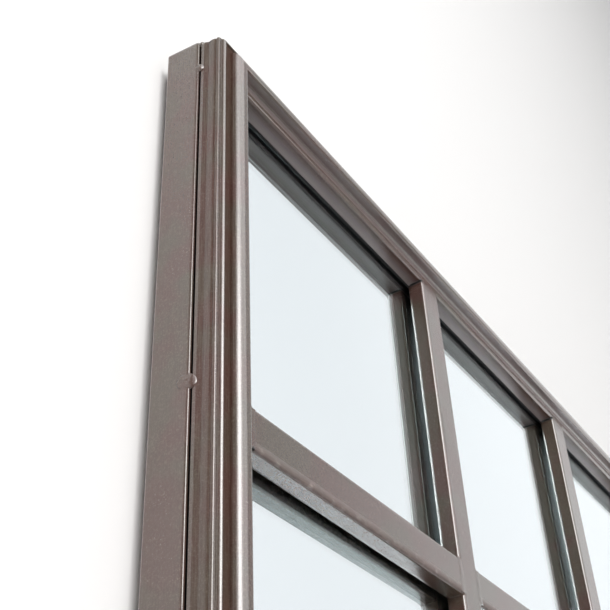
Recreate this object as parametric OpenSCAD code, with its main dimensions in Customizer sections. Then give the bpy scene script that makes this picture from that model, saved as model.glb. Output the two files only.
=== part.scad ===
// Window mirror: a welded steel frame with a grid of glazing bars over one sheet of mirror glass.
// X runs to the right, Y into the wall and Z up, in millimetres. The wall is the plane Y = 0, and
// the origin lies midway between the round ends of the two keyholes that hang the mirror.
// Sections are drawn in (u, d): u inwards from the frame's outer face, d forwards from the wall.

/* [Panes] */
// Number of panes from left to right
panes_x = 3; // [2:1:5]
// Number of panes from top to bottom
panes_z = 4; // [2:1:6]
// Clear width of one pane between its bars
pane_w = 184; // [140:1:260]
// Clear height of one pane between its bars
pane_h = 184; // [140:1:260]

/* [Glazing bars] */
// Face width of a glazing bar
bar_w = 20; // [14:0.5:30]
// Depth of a glazing bar from front to back
bar_t = 10; // [7:0.5:11]
// Wall of the rectangular tube that the bars are cut from
bar_wall = 1.2; // [0.8:0.1:2]
// Outside corner radius of the bar tube
bar_r = 1.8; // [0.8:0.1:2.4]

/* [Rear frame] */
// Side of the square tube of the rear frame
tube = 20; // [18:0.5:22]
// Wall of the square tube
tube_wall = 1.2; // [1:0.1:2.5]
// Outside corner radius of the square tube
tube_r = 1; // [0.8:0.1:2.5]

/* [Front moulding] */
// Width of the frame from its outer face to the sight edge
sight = 27; // [26:0.5:32]
// Open slot between the rear tube and the moulding
slot = 1.5; // [0.8:0.1:3]
// Set-back of the moulding from the outer face of the tube
inset = 1.5; // [0.5:0.1:2.5]
// Thickness of the rolled steel sheet
sheet = 1.2; // [0.8:0.1:1.6]
// Width of the lip turned in behind the sight edge
lip = 5.5; // [3:0.5:5.5]
// How far the back edge of the moulding's side turns down into the slot
drip = 0.5; // [0:0.1:0.7]
// Height of the flat strip along the side's back edge
strip_h = 1.1; // [0.6:0.1:2]
// Width of the splay between that strip and the side bead
splay_w = 0.9; // [0.4:0.1:1.4]
// Height of the splay
splay_h = 2.4; // [1.5:0.1:3]
// Height of the bead on the side
side_h = 4.3; // [3:0.1:6]
// How far the side bead leans in over its height
side_lean = 0.45; // [0:0.05:1]
// How far the side bead swells
side_bow = 0.45; // [0.2:0.05:0.8]
// Radius of the ridge on the outer front edge
ridge_r = 1.2; // [0.8:0.1:1.6]
// Width of the tread between the two ridges
tread_w = 1.1; // [0.8:0.1:1.6]
// Radius of the outer face of the second ridge
step_r = 2.8; // [2.2:0.1:3.4]
// Radius of the second ridge's crest
crest_r = 0.6; // [0.4:0.1:0.8]
// Depth of the valley below that crest
valley_h = 0.8; // [0.6:0.1:1.2]
// Width of the valley's floor, up to the nose
valley_w = 3.7; // [3:0.1:4.4]
// Radius of the quarter-round nose
nose_r = 5.2; // [4.6:0.1:6]
// Width of the flat crown between the nose and its inner shoulder
crown_w = 1.9; // [0.8:0.1:2.4]
// Radius of the inner shoulder
inner_r = 1.6; // [1.2:0.1:2.2]
// Radius of the fillet where the nose meets the ledge
fillet_r = 1.4; // [0.8:0.1:2]
// Radius of the bend where the lip turns in
bend_r = 0.8; // [0.4:0.1:1]

/* [Mirror glass] */
// Thickness of the glass
glass_t = 4; // [3:0.5:6]
// Thickness of the silvering with its protective paint
silver_t = 0.2; // [0.1:0.05:0.4]
// Thickness of the glazing tape between the moulding and the glass
tape_t = 1.6; // [1:0.1:3]
// Distance from the sight edge to the tape
tape_in = 0.4; // [0:0.1:1]
// Gap between two strips of tape at a corner
tape_gap = 1; // [0.5:0.5:5]
// Room between the edge of the glass and the tube
edge_gap = 2; // [1.8:0.1:3]
// Length of a rubber block at the edge of the glass
block_l = 40; // [20:1:60]

/* [Backing] */
// Thickness of the backing board
board_t = 6; // [4.5:0.5:6]
// Thickness of the steel strip of a lug
lug_t = 2; // [1.5:0.1:2]
// Width of a lug
lug_w = 16; // [12:1:24]
// Reach of a lug over the board, from the tube
lug_reach = 16; // [13:1:24]
// Height of the welded leg of a lug
lug_leg = 8; // [6:0.5:8.5]
// Number of lugs on each side of the frame
lugs_side = 3; // [2:1:5]
// Number of lugs at the top and at the bottom
lugs_end = 2; // [2:1:4]
// Diameter of the hole in a lug
lug_hole = 4.2; // [4:0.1:5]
// Diameter of the screw's shank
screw_d = 3.5; // [3:0.1:3.9]
// Length of the screw under its head
screw_l = 7; // [5.5:0.5:7]
// Diameter of the screw's head
head_d = 7.5; // [6.5:0.5:9]
// Height of the screw's head
head_h = 2; // [1.5:0.1:2.5]
// Swell of the screw's domed head
head_bow = 0.5; // [0.2:0.1:0.7]

/* [Hangers] */
// Width of a hanger plate, from the side tube
hanger_w = 50; // [40:1:70]
// Height of a hanger plate, from the top tube
hanger_h = 36; // [32:1:50]
// Thickness of a hanger plate
hanger_t = 2.5; // [2:0.1:4]
// Diameter of the keyhole's round end
key_d = 9; // [8:0.5:11]
// Width of the keyhole's slot
key_slot = 4.6; // [4:0.1:5.5]
// Rise of the slot above the centre of the round end
key_rise = 10; // [8:0.5:14]
// Height of the round end's centre above the plate's lower edge
key_up = 14; // [10:0.5:16]

/* [Welds] */
// Radius of the weld drops that bridge the slot
drop_r = 2.6; // [2.2:0.1:3]
// How far a weld drop stands out from the side of the tube
drop_out = 0.8; // [0.4:0.1:1.2]
// Step between the two drops of one weld, front to back
drop_step = 2.8; // [2:0.1:3.5]
// First weld on each rail, from the frame's corner
weld_first = 22; // [15:1:40]
// Second weld on each rail, from the frame's corner
weld_second = 208; // [150:1:260]
// Leg of the fillet welds at the ends of the glazing bars
bar_leg = 1.6; // [1:0.1:3]
// Leg of the fillet welds inside the corners of the rear frame
corner_leg = 1.5; // [1:0.1:1.6]
// Leg of the fillet welds on lugs and hanger plates
small_leg = 2; // [1.5:0.1:3]

/* [Hidden] */
$fn = 32;
// Sides of a round weld drop, and of a screw and its holes
DROP_SIDES = 12;
SCREW_SIDES = 16;
// Overrun of a cutter past the face that it cuts
bite = 1;
// Room around a screw's shank in the board
shank_play = 0.05;
// Hollow of a fillet weld's face, as a share of its leg
weld_dish = 0.18;
inner_w = panes_x * pane_w + (panes_x - 1) * bar_w;
inner_h = panes_z * pane_h + (panes_z - 1) * bar_w;
frame_w = inner_w + 2 * sight;
frame_h = inner_h + 2 * sight;
// Depths from the wall, back to front
front_d = tube + slot;
glass_d = front_d - tape_t;
silver_d = glass_d - glass_t;
board_d = silver_d - silver_t;
lug_d = board_d - board_t;
glass_in = tube + edge_gap;
glass_w = frame_w - 2 * glass_in;
glass_h = frame_h - 2 * glass_in;
tape_w = sight - tape_in - glass_in;
// The keyholes set the height of the frame over the origin
key_u = tube + hanger_w / 2;
key_v = tube + hanger_h - key_up;
top_z = key_v;
mid_z = top_z - frame_h / 2;
ROW_NAMES = [for (r = [1:panes_z - 1]) str("row", r)];
UPRIGHTS = [for (c = [1:panes_x - 1]) str("vertical_bar_", c)];
CROSSBARS = [for (r = ROW_NAMES, c = [1:panes_x]) str("cross_bar_", r, "_", c)];
SIDES = ["left", "top", "right", "bottom"];

// Points along the arc from a to b that rises by h to the left of the line between them
function bow(a, b, h, n) =
    let (chord = norm(b - a), t = (b - a) / chord, left = [-t[1], t[0]],
         r = (chord * chord / 4 + h * h) / (2 * abs(h)),
         centre = (a + b) / 2 + left * (h - sign(h) * r),
         half = asin(min(1, chord / 2 / r)), swing = abs(h) > chord / 2 ? 180 - half : half)
    [for (i = [1:n]) let (w = swing * (2 * i / n - 1))
        centre + r * (t * sin(w) + left * sign(h) * cos(w))];

// Rise of a quarter circle of radius r over its chord
function quarter(r) = r * (1 - cos(45));

// Points on a circle from where its normal points at angle a to where it points at b: 90 is out to
// the side of the frame, 0 is forwards, -90 is in to the pane
function lobe(centre, r, a, b, n) =
    [for (i = [0:n]) let (w = a + (b - a) * i / n) centre + r * [-sin(w), cos(w)]];
// The centre of the circle that passes through p with its normal at angle a
function centre_at(p, r, a) = p + r * [sin(a), -cos(a)];

// The moulding's section, from its back edge over the ridges and the nose to the sight edge
ridge_turn = [128, 32];
step_turn = [88, 38];
crest_end = -45;
splay_p = [inset + splay_w, strip_h + splay_h];
side_p = splay_p + [side_lean, side_h];
ridge_c = centre_at(side_p, ridge_r, ridge_turn[0]);
tread_p = ridge_c + ridge_r * [-sin(ridge_turn[1]), cos(ridge_turn[1])] + [tread_w, 0];
step_c = centre_at(tread_p, step_r, step_turn[0]);
crest_c = step_c + (step_r - crest_r) * [-sin(step_turn[1]), cos(step_turn[1])];
valley_p = crest_c + [crest_r * 1.5, crest_r - valley_h];
nose_c = valley_p + [valley_w + nose_r, 0];
inner_c = nose_c + [crown_w, nose_r - inner_r];
wall_u = inner_c[0] + inner_r;

function moulding_outline() = concat(
    [[side_p[0], 0], [side_p[0], -drip], [inset, -drip], [inset, strip_h], splay_p],
    bow(splay_p, side_p, side_bow, 6),
    lobe(ridge_c, ridge_r, ridge_turn[0], ridge_turn[1], 6),
    lobe(step_c, step_r, step_turn[0], step_turn[1], 5),
    lobe(crest_c, crest_r, step_turn[1] - 20, crest_end, 3),
    [valley_p],
    lobe(nose_c, nose_r, 90, 0, 9),
    lobe(inner_c, inner_r, 0, -90, 4),
    lobe([wall_u, bar_t] + [fillet_r, fillet_r], fillet_r, 90, 180, 4),
    lobe([sight, bar_t] - [bar_r, bar_r], bar_r, 0, -90, 4),
    lobe([sight - bend_r, bend_r], bend_r, -90, -180, 3));

// The hollow behind the rolled sheet, open at the back between the side and the lip
function moulding_hollow() = concat(
    [[side_p[0] + sheet, -bite], [side_p[0] + sheet, side_p[1]], tread_p + [sheet, 0],
     valley_p + [valley_w + sheet, -sheet]],
    lobe(nose_c, nose_r - sheet, 80, 0, 5),
    [inner_c + [0, inner_r - sheet], inner_c + [inner_r - sheet, 0], [wall_u - sheet, bar_t - sheet],
     [sight - sheet, bar_t - sheet], [sight - sheet, sheet], [sight - lip, sheet], [sight - lip, -bite]]);

// The outline of a box with round corners, from the origin to (w, h)
function rounded_box(w, h, r) = let (n = 4)
    [for (k = [0:3], i = [0:n]) let (a = 90 * (k + i / n))
        [(k == 0 || k == 3) ? w - r : r, k < 2 ? h - r : r] + r * [cos(a), sin(a)]];

module box_tube(w, h, r, wall) {
    difference() {
        polygon(rounded_box(w, h, r));
        translate([wall, wall]) square([w - 2 * wall, h - 2 * wall]);
    }
}

// Turns what is drawn for the left side, about the frame's centre, to one of the four sides
module on_side(k) translate([0, 0, mid_z]) rotate([0, 90 * k, 0]) children();
function half_across(k) = (k % 2 == 0 ? frame_w : frame_h) / 2;
function side_length(k) = k % 2 == 0 ? frame_h : frame_w;

// Draws a section in (u, d) and runs it along a side between two heights from that side's middle
module along(k, from, to)
    translate([-half_across(k), 0, from]) linear_extrude(to - from) mirror([0, 1]) children();

// A rail with both ends mitred at 45 degrees on the frame's corners
module rail(k) {
    half = side_length(k) / 2;
    s = sight + bite;
    on_side(k) intersection() {
        along(k, -half, half) children();
        translate([-half_across(k), bite, 0]) rotate([90, 0, 0]) linear_extrude(2 * sight + bite)
            polygon([[0, -half], [s, s - half], [s, half - s], [0, half]]);
    }
}

// One side of the front frame: rolled steel moulding, hollow behind
module moulding(k) color("#6f615a") rail(k) translate([0, front_d]) difference() {
    polygon(moulding_outline());
    polygon(moulding_hollow());
}

// One side of the rear frame: square steel tube
module rear_tube(k) color("#7a7068") rail(k) box_tube(tube, tube, tube_r, tube_wall);

module bar_section() box_tube(bar_w, bar_t, bar_r, bar_wall);

function upright_x(c) = -inner_w / 2 + c * pane_w + (c - 1) * bar_w;
function pane_x(c) = -inner_w / 2 + (c - 1) * (pane_w + bar_w);
function crossbar_z(r) = top_z - sight - r * (pane_h + bar_w);

// An upright glazing bar, in one length from the bottom moulding to the top one
module upright(c) color("#8d807a") translate([upright_x(c), -front_d, mid_z - inner_h / 2])
    linear_extrude(inner_h) mirror([0, 1]) bar_section();

// A short glazing bar between two uprights, or between an upright and the moulding
module crossbar(r, c) color("#8d807a") translate([pane_x(c), -front_d, crossbar_z(r) + bar_w])
    rotate([0, 90, 0]) linear_extrude(pane_w) mirror([0, 1]) bar_section();

// Concave fillet weld in the corner between two faces along the local X and Y axes
module fillet(leg, length) linear_extrude(length)
    polygon(concat([[0, 0], [leg, 0]], bow([leg, 0], [0, leg], -leg * weld_dish, 4)));

// A weld of two drops across the slot, cut to the tube and the moulding that it joins
module slot_weld(k, z) on_side(k) difference() {
    for (i = [0, 1]) translate([drop_r - drop_out - half_across(k), i * drop_step - front_d + slot / 2, z])
        sphere(drop_r, $fn = DROP_SIDES);
    along(k, z - 2 * drop_r, z + 2 * drop_r) {
        polygon(rounded_box(tube, tube, tube_r));
        translate([0, front_d]) polygon(moulding_outline());
    }
}

function weld_stations(k) = let (h = side_length(k) / 2)
    concat([for (s = [weld_first, weld_second], e = [-1, 1]) e * (h - s)], k % 2 == 0 ? [0] : []);

module slot_welds() color("#6f615a") for (k = [0:3], z = weld_stations(k)) slot_weld(k, z);

// A fillet along the depth of a glazing bar, in the corner at a point (x, z) of the front view
module bar_fillet(at, turn) translate([at[0], -front_d - bar_r, at[1]]) rotate([90, 0, 0]) rotate(turn)
    fillet(bar_leg, bar_t - 2 * bar_r);

// A butt weld, ground flush, over the round edge of what carries a bar, which lies behind (x, z)
module butt_weld(at, turn) translate([at[0], -front_d - bar_t, at[1]]) rotate([0, turn, 0])
    translate([0, 0, bar_r - bar_w / 2]) linear_extrude(bar_w - 2 * bar_r) mirror([0, 1])
        polygon(concat([[0, 0]], lobe([-bar_r, -bar_r], bar_r, 0, -90, 4)));

// At each end of every glazing bar a butt weld on its front and two fillets on its narrow faces
module bar_welds() color("#857973") {
    for (r = [1:panes_z - 1], c = [1:panes_x], end = [0, 1]) {
        x = pane_x(c) + end * pane_w;
        butt_weld([x, crossbar_z(r) + bar_w / 2], end * 180);
        bar_fillet([x, crossbar_z(r) + bar_w], end * 90);
        bar_fillet([x, crossbar_z(r)], 270 - end * 90);
    }
    for (c = [1:panes_x - 1], end = [0, 1]) {
        z = mid_z + (end - 0.5) * inner_h;
        butt_weld([upright_x(c) + bar_w / 2, z], end * 180 - 90);
        bar_fillet([upright_x(c), z], 90 + end * 90);
        bar_fillet([upright_x(c) + bar_w, z], end * 270);
    }
}

// Fillets inside the mitred corners of the rear frame, clear of the hanger plates
module corner_welds() color("#6f615a") for (sx = [-1, 1], sz = [-1, 1])
    translate([sx * (frame_w / 2 - tube), -hanger_t - small_leg, mid_z + sz * (frame_h / 2 - tube)])
        rotate([90, 0, 0]) rotate(sx < 0 ? (sz < 0 ? 0 : 270) : (sz < 0 ? 90 : 180))
            fillet(corner_leg, tube - 2 * (hanger_t + small_leg));

// A sheet the size of the glass, whose back lies at depth d
module glazed_sheet(d, t)
    translate([-glass_w / 2, -d - t, mid_z - glass_h / 2]) cube([glass_w, t, glass_h]);

module mirror_glass() color("#cfe0dc", 0.4) glazed_sheet(silver_d, glass_t);

module silvering() color("#dfe6ea") glazed_sheet(board_d, silver_t);

// Foam tape on the moulding's lip, four strips with a small gap at each corner
module glazing_tape() color("#151515") for (k = [0:3]) {
    cut = (k % 2 == 0) ? glass_in : glass_in + tape_w + tape_gap;
    on_side(k) along(k, cut - side_length(k) / 2, side_length(k) / 2 - cut)
        translate([glass_in, glass_d]) square([tape_w, tape_t]);
}

// Rubber blocks that carry the glass and centre it in the tubes, two on each side
module edge_blocks() color("#1d1d1d") for (k = [0:3], e = [-1, 1]) {
    z = e * side_length(k) / 4;
    on_side(k) along(k, z - block_l / 2, z + block_l / 2)
        translate([tube, board_d]) square([edge_gap, glass_t + silver_t]);
}

// Heights of the lugs from the middle of a side
function lug_stations(k) = let (n = k % 2 == 0 ? lugs_side : lugs_end)
    [for (i = [1:n]) side_length(k) * (i / (n + 1) - 0.5)];
lug_u = tube + lug_reach / 2 + lug_t / 2;

// Puts what is drawn along +Z, with Z = 0 on the board's back, at the hole of each lug
module at_lugs() for (k = [0:3], z = lug_stations(k))
    on_side(k) translate([lug_u - half_across(k), -lug_d, z]) rotate([90, 0, 0]) children();

module backing_board() color("#4a3b2e") difference() {
    glazed_sheet(lug_d, board_t);
    at_lugs() translate([0, 0, -bite]) cylinder(d = screw_d, h = screw_l - lug_t + bite, $fn = SCREW_SIDES);
}

// Bent steel lugs, welded to the tubes, that hold the board down on the glass
module board_lugs() color("#6f615a") difference() {
    for (k = [0:3], z = lug_stations(k)) on_side(k) along(k, z - lug_w / 2, z + lug_w / 2)
        polygon(concat([[tube, lug_d - lug_leg], [tube + lug_t, lug_d - lug_leg],
                        [tube + lug_t, lug_d - lug_t], [tube + lug_reach, lug_d - lug_t],
                        [tube + lug_reach, lug_d], [tube + lug_t, lug_d]],
                       bow([tube + lug_t, lug_d], [tube, lug_d - lug_t], quarter(lug_t), 4)));
    at_lugs() translate([0, 0, -lug_t - bite]) cylinder(d = lug_hole, h = lug_t + 2 * bite);
}

// A fillet on each edge of a lug's welded leg
module lug_welds() color("#6f615a") for (k = [0:3], z = lug_stations(k), e = [-1, 1])
    on_side(k) translate([tube - half_across(k), -lug_d + lug_leg - small_leg / 2, z + e * lug_w / 2])
        rotate([90, 0, 0]) rotate(e < 0 ? 270 : 0) fillet(small_leg, lug_leg - lug_t - small_leg);

// Pan-head screws through the lugs into the board, with a cross recess in the head
module board_screws() color("#b9b7b0") at_lugs() translate([0, 0, -lug_t]) difference() {
    union() {
        cylinder(d = screw_d - 2 * shank_play, h = screw_l - screw_d / 2, $fn = SCREW_SIDES);
        translate([0, 0, screw_l - screw_d / 2])
            cylinder(d1 = screw_d - 2 * shank_play, d2 = screw_d / 4, h = screw_d / 2 - shank_play,
                     $fn = SCREW_SIDES);
        rotate_extrude($fn = SCREW_SIDES) polygon(concat([[0, 0], [head_d / 2, 0]],
            bow([head_d / 2, 0], [0, -head_h], -head_bow, 4)));
    }
    for (a = [0, 90]) rotate(a) translate([0, 0, -head_h])
        cube([head_d / 2, head_h / 3, head_h], center = true);
}

// Steel plate in the upper corner of the rear frame, with a keyhole for the wall screw
module hanger_plate(sx) color("#6f615a")
    translate([sx * (frame_w / 2 - key_u), 0, 0]) rotate([90, 0, 0]) linear_extrude(hanger_t) difference() {
        translate([-hanger_w / 2, -key_up]) square([hanger_w, hanger_h]);
        circle(d = key_d);
        translate([-key_slot / 2, 0]) square([key_slot, key_rise]);
        translate([0, key_rise]) circle(d = key_slot);
    }

// Fillets between each hanger plate and the two tubes that it fills the corner of
module hanger_welds() color("#6f615a") for (sx = [-1, 1]) {
    translate([sx * (frame_w / 2 - key_u) - hanger_w / 2 + small_leg, -hanger_t, top_z - tube])
        rotate([0, 90, 0]) rotate(-90) fillet(small_leg, hanger_w - 2 * small_leg);
    translate([sx * (frame_w / 2 - tube), -hanger_t, top_z - tube - hanger_h + small_leg])
        rotate(sx < 0 ? 270 : 180) fillet(small_leg, hanger_h - 3 * small_leg);
}

for (k = [0:3]) {
    moulding(k);
    rear_tube(k);
}
for (c = [1:panes_x - 1]) upright(c);
for (r = [1:panes_z - 1], c = [1:panes_x])
    crossbar(r, c);
slot_welds();
bar_welds();
corner_welds();
mirror_glass();
silvering();
glazing_tape();
edge_blocks();
backing_board();
board_lugs();
lug_welds();
board_screws();
hanger_plate(-1);  // hanger_plate_left
hanger_plate(1);  // hanger_plate_right
hanger_welds();
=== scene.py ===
import bmesh
import bpy
import numpy as np
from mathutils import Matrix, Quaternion, Vector


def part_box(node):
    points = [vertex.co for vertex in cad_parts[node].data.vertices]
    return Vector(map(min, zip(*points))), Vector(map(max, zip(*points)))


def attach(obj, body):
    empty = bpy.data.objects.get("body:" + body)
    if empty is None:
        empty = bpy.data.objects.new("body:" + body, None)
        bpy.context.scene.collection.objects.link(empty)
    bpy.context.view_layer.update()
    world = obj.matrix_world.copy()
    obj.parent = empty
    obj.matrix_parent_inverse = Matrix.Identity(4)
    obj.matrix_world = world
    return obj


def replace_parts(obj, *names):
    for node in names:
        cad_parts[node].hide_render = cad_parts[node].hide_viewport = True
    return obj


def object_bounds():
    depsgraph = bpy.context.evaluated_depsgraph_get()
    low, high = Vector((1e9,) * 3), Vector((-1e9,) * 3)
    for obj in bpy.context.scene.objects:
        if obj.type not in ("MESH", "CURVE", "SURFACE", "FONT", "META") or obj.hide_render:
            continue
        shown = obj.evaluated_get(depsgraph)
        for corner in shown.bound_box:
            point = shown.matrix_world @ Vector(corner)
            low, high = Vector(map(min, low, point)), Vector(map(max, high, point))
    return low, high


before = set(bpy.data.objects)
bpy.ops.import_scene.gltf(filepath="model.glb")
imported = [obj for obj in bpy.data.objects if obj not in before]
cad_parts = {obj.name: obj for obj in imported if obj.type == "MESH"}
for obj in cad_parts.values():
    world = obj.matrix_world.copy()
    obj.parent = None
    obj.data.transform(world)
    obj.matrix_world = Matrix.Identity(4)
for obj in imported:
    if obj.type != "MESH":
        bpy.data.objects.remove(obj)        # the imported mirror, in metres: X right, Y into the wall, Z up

cad_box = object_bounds()

# The camera stands to the left of the mirror and below its top, close to the wall, and looks up
# along the frame. Its place and turn were fitted to the straight edges in the photograph.
EYE = Vector((-0.6009, -0.2478, -0.4036))
YAW, PITCH, ROLL = np.radians(58.242), np.radians(37.328), np.radians(-2.875)
LENS_MM, SENSOR_MM = 64.1, 36.0
gaze = Vector((np.sin(YAW) * np.cos(PITCH), np.cos(YAW) * np.cos(PITCH), np.sin(PITCH)))
camera = bpy.data.objects.new("camera", bpy.data.cameras.new("camera"))
camera.data.lens, camera.data.sensor_width = LENS_MM, SENSOR_MM
camera.data.clip_start = 0.01
camera.location = EYE
camera.rotation_mode = "QUATERNION"
camera.rotation_quaternion = gaze.to_track_quat("-Z", "Y") @ Quaternion((0, 0, 1), ROLL)
bpy.context.scene.collection.objects.link(camera)
bpy.context.scene.camera = camera
bpy.context.scene.view_settings.view_transform = "Standard"


# The room: a white plastered wall a few millimetres behind the frame, which hangs on two screws,
# and a pale floor below. The wall has one side only, and an opening behind the frame that no front
# view shows, so that the mirror's back shows from behind and is lit.
MM = 0.001
WALL_GAP, WALL_REACH = 7 * MM, 4.0
FLOOR_Z, FLOOR_REACH = -1.3, 5.0
WALL_WHITE, FLOOR_WHITE = (0.95, 0.95, 0.95, 1), (0.86, 0.86, 0.86, 1)
PLASTER_SCALE = 260


class Shade:
    """A socket in a node tree. Arithmetic on it adds Math nodes, and add() makes any other node."""

    def __init__(self, tree, socket=None):
        self.tree, self.socket = tree, socket

    def add(self, kind, sockets=None, output=0, **settings):
        """A new node: its type and settings first, then what its sockets take."""
        made = self.tree.nodes.new(kind)
        for name, value in settings.items():
            setattr(made, name, value)
        for name, value in (sockets or {}).items():
            if isinstance(value, Shade):
                self.tree.links.new(value.socket, made.inputs[name])
            else:
                made.inputs[name].default_value = value
        return Shade(self.tree, made.outputs[output])

    def math(self, operation, *values):
        return self.add("ShaderNodeMath", dict(enumerate(values)), operation=operation)

    def __add__(self, other):
        return self.math("ADD", self, other)

    def __radd__(self, other):
        return self.math("ADD", other, self)

    def __sub__(self, other):
        return self.math("SUBTRACT", self, other)

    def __rsub__(self, other):
        return self.math("SUBTRACT", other, self)

    def __mul__(self, other):
        return self.math("MULTIPLY", self, other)

    def __rmul__(self, other):
        return self.math("MULTIPLY", other, self)

    def ease(self, low, high):
        """0 below low and 1 above high, with a smooth step between them."""
        sockets = {"Value": self, "From Min": low, "From Max": high}
        return self.add("ShaderNodeMapRange", sockets, interpolation_type="SMOOTHSTEP")

    def blend(self, first, second):
        """The first colour where this is 0, and the second one where it is 1."""
        return self.add("ShaderNodeMix", {0: self, 6: first, 7: second}, 2, data_type="RGBA")

    def tint(self, mask, colour):
        """This colour where the mask is 0, and the other one where it is 1."""
        return mask.blend(self, colour)

    def noise(self, scale, detail=2.0, stretch=(1, 1, 1)):
        """Noise on these coordinates, as a value: scale is in features per metre."""
        placed = self.add("ShaderNodeMapping", {"Vector": self, "Scale": stretch})
        return self.add("ShaderNodeTexNoise", {"Vector": placed, "Scale": scale, "Detail": detail})

    def attribute(self, name):
        return self.add("ShaderNodeAttribute", output="Fac", attribute_name=name)


def new_material(name):
    """An empty material, its starting point for nodes and its output socket."""
    made = bpy.data.materials.new(name)
    made.use_nodes = True
    made.node_tree.nodes.clear()
    start = Shade(made.node_tree)
    return made, start, made.node_tree.nodes.new("ShaderNodeOutputMaterial").inputs["Surface"]


def stage_sheet(name, corners, faces, colour, unseen_by=()):
    """A flat sheet of the room with one side, in plain paint with a faint grain. The kinds of ray
    in unseen_by pass through it to the sky."""
    mesh = bpy.data.meshes.new(name)
    mesh.from_pydata(corners, [], faces)
    sheet = bpy.data.objects.new(name, mesh)
    bpy.context.scene.collection.objects.link(sheet)
    material, start, surface = new_material(name)
    plaster = start.add("ShaderNodeTexCoord", output="Object").noise(PLASTER_SCALE)
    bump = start.add("ShaderNodeBump", {"Height": plaster, "Strength": 0.05, "Distance": MM})
    front = start.add("ShaderNodeBsdfDiffuse", {"Color": colour, "Normal": bump})
    gone = start.add("ShaderNodeNewGeometry", output="Backfacing")
    for ray in unseen_by:
        gone = gone.math("MAXIMUM", gone, start.add("ShaderNodeLightPath", output=f"Is {ray} Ray"))
    shader = start.add("ShaderNodeMixShader", {0: gone, 1: front, 2: start.add("ShaderNodeBsdfTransparent")})
    material.node_tree.links.new(shader.socket, surface)
    mesh.materials.append(material)


SQUARE = ((-1, -1), (1, -1), (1, 1), (-1, 1))
OPENING = 32 * MM        # how far in from the frame's outline the opening starts
box_low, box_high = (Vector(corner) for corner in cad_box)
box_middle = (box_low + box_high) / 2
open_w, open_h = ((box_high[axis] - box_low[axis]) / 2 - OPENING for axis in (0, 2))
wall_corners = [(x * WALL_REACH, WALL_GAP, FLOOR_Z + (z + 1) * WALL_REACH) for x, z in SQUARE]
wall_corners += [(box_middle.x + x * open_w, WALL_GAP, box_middle.z + z * open_h) for x, z in SQUARE]
wall_faces = [(i, (i + 1) % 4, 4 + (i + 1) % 4, 4 + i) for i in range(4)]
floor_corners = [(x * FLOOR_REACH, y * FLOOR_REACH, FLOOR_Z) for x, y in SQUARE]
stage_sheet("room_wall", wall_corners, wall_faces, WALL_WHITE)
stage_sheet("room_floor", floor_corners, [(0, 1, 2, 3)], FLOOR_WHITE, unseen_by=("Glossy", "Transmission"))

# The light: a tall soft box in front and to the left, whose reflections run down the ridges, in a
# studio with a lit front, a dark left, a dim floor and a pale right side that is brighter low down.
# Only the part of it that the camera sees in the mirror is an even pale sky.
FOCUS = Vector((-0.31, -0.03, -0.15))
BOX_TOWARDS, BOX_AWAY = Vector((-0.50, -0.78, 0.38)).normalized(), 3.0
BOX_SIZE, BOX_RADIANCE = (1.4, 2.0), 9.0
BOX_COLOUR = (1, 0.985, 0.973)
FILL, LIT_FRONT, PALE_SIDE, FAR_SIDE, LOW_SIDE, DIM_FLOOR, DARK = 0.38, 2.7, 0.42, 1.6, 2.5, 0.35, 0.08
MIRROR_SKY, FRONT_GLOSS = 1.04, 1.09        # the pale sky, less what the glass's front face adds to it
SHINE_TINT, MIRROR_TINT = (0.97, 0.985, 1), (1.24, 1.11, 1.14)
# The bearings in degrees, round to the right from straight ahead, and the heights, from -1 to 1,
# over which one part of the studio turns into the next
FRONT_STARTS, FRONT_ENDS, FRONT_RISES = (-62, -50), (37, 47), (-0.05, 0.25)
SIDE_STARTS, SIDE_TO_FAR, LOW_TO_HIGH = (45, 55), (55, 70), (0.05, 0.35)
VIEW_STARTS, VIEW_RISES, FLOOR_ENDS = (30, 40), (0.18, 0.28), (-0.82, -0.50)
lamp = bpy.data.lights.new("tall_soft_box", "AREA")
lamp.shape, (lamp.size, lamp.size_y) = "RECTANGLE", BOX_SIZE
lamp.energy = BOX_RADIANCE * np.pi * lamp.size * lamp.size_y
lamp.color = BOX_COLOUR
holder = bpy.data.objects.new("tall_soft_box", lamp)
holder.location = FOCUS + BOX_TOWARDS * BOX_AWAY
holder.rotation_mode = "QUATERNION"
holder.rotation_quaternion = BOX_TOWARDS.to_track_quat("Z", "Y")
bpy.context.scene.collection.objects.link(holder)

world = bpy.data.worlds.new("studio")
bpy.context.scene.world = world
world.use_nodes = True
world.node_tree.nodes.clear()
room = Shade(world.node_tree)
towards = room.add("ShaderNodeTexCoord", output="Generated")
x, y, z = (room.add("ShaderNodeSeparateXYZ", {"Vector": towards}, k) for k in range(3))
round_to_right = x.math("ARCTAN2", x, y * -1) * float(np.degrees(1))
front = round_to_right.ease(*FRONT_STARTS) * (1 - round_to_right.ease(*FRONT_ENDS)) * z.ease(*FRONT_RISES)
right = round_to_right.ease(*SIDE_STARTS)
above_floor = z.ease(*FLOOR_ENDS)
high_side = PALE_SIDE + (FAR_SIDE - PALE_SIDE) * round_to_right.ease(*SIDE_TO_FAR)
side = LOW_SIDE + (high_side - LOW_SIDE) * z.ease(*LOW_TO_HIGH)
walls = front * LIT_FRONT + right * side
studio = DARK + DIM_FLOOR + above_floor * (walls - DIM_FLOOR)
in_view = round_to_right.ease(*VIEW_STARTS) * z.ease(*VIEW_RISES)
in_mirror = studio + in_view * (MIRROR_SKY - studio * FRONT_GLOSS)


def sky_light(colour, strength):
    return room.add("ShaderNodeBackground", {"Color": (*colour, 1), "Strength": strength})


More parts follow.
